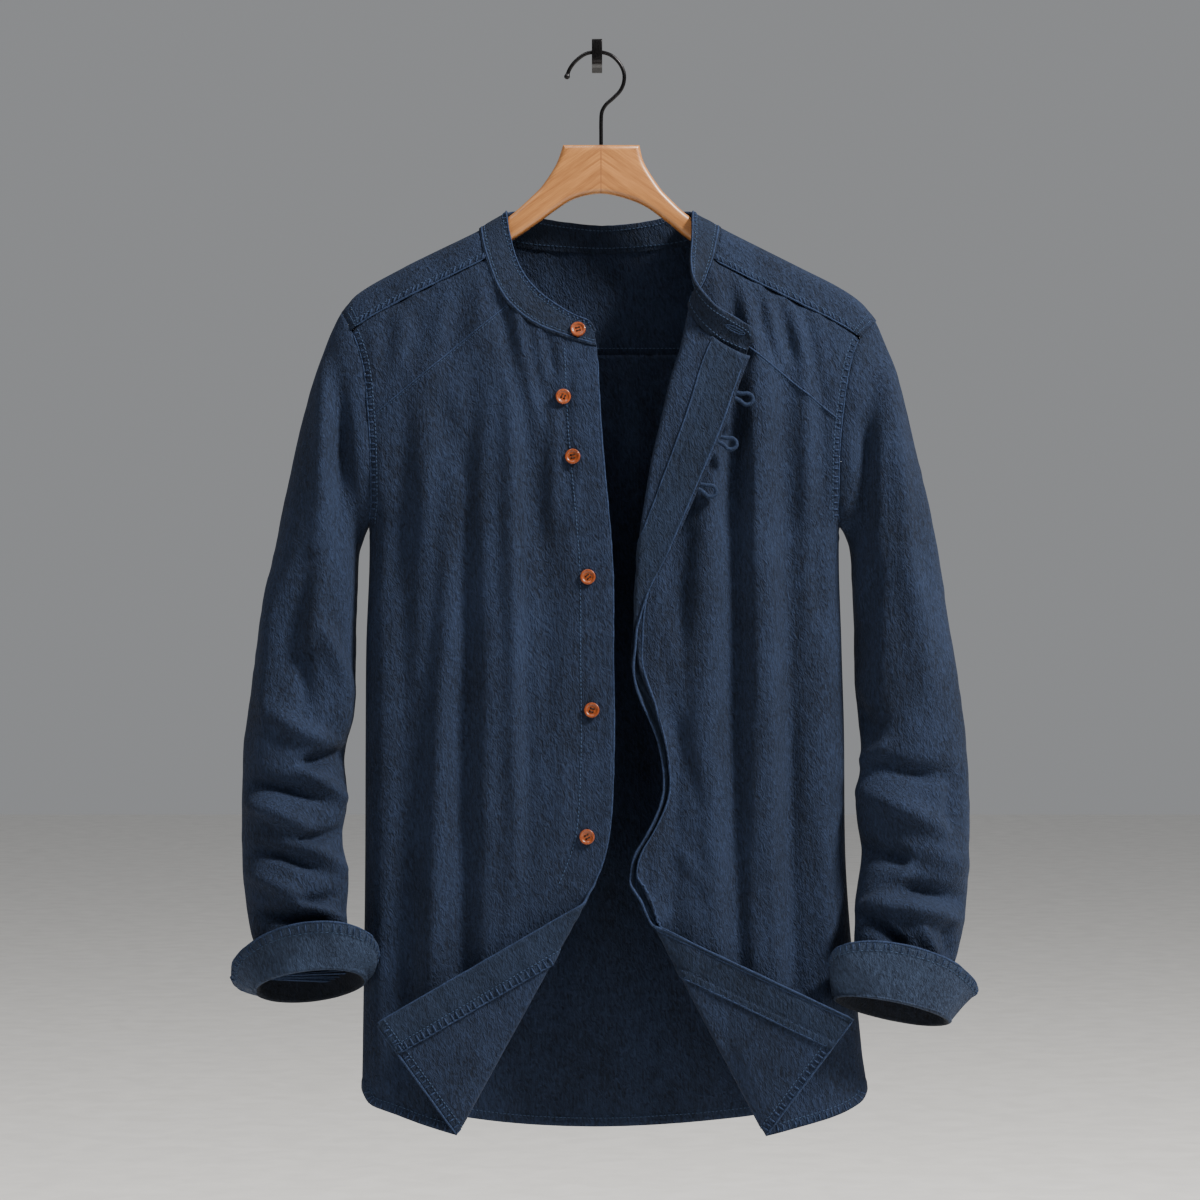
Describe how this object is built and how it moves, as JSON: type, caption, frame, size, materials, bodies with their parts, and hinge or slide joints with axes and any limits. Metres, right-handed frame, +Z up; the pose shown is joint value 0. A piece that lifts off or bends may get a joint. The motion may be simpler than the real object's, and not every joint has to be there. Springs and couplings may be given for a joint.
{
  "type": "mandarin collar shirt on a wooden hanger",
  "caption": "Long-sleeved navy shirt with a standing band collar, hanging open on a wooden hanger from a wall hook, its front edge turned out and its cuffs turned back.",
  "frame": {"origin": "middle of the wall hook's flat back, where it meets the wall", "axes": "+Z up, +Y into the wall, +X towards the wearer's left; the shirt's front faces -Y"},
  "size_m": [0.623, 0.1237, 0.9178],
  "materials": {
    "cloth": "matte crinkled navy cotton and linen",
    "cloth_inside": "the same cloth's smoother inner side",
    "button": "turned and varnished, orange brown",
    "hanger_wood": "varnished light hardwood",
    "dark_steel": "satin dark grey"
  },
  "bodies": {
    "root": {"front_right": "cloth", "front_left": "cloth", "front_yoke_right": "cloth", "front_yoke_left": "cloth", "facing_right": "cloth_inside", "facing_left": "cloth_inside", "yoke": "cloth", "back": "cloth", "collar": "cloth", "sleeve_right": "cloth", "sleeve_left": "cloth", "cuff_right": "cloth_inside", "cuff_left": "cloth_inside", "button_1": "button", "button_2": "button", "button_3": "button", "button_4": "button", "button_5": "button", "button_6": "button", "loop_1": "cloth", "loop_2": "cloth", "loop_3": "cloth", "hanger": "hanger_wood", "hanger_hook": "dark_steel", "wall_hook": "dark_steel"}
  },
  "joints": []
}
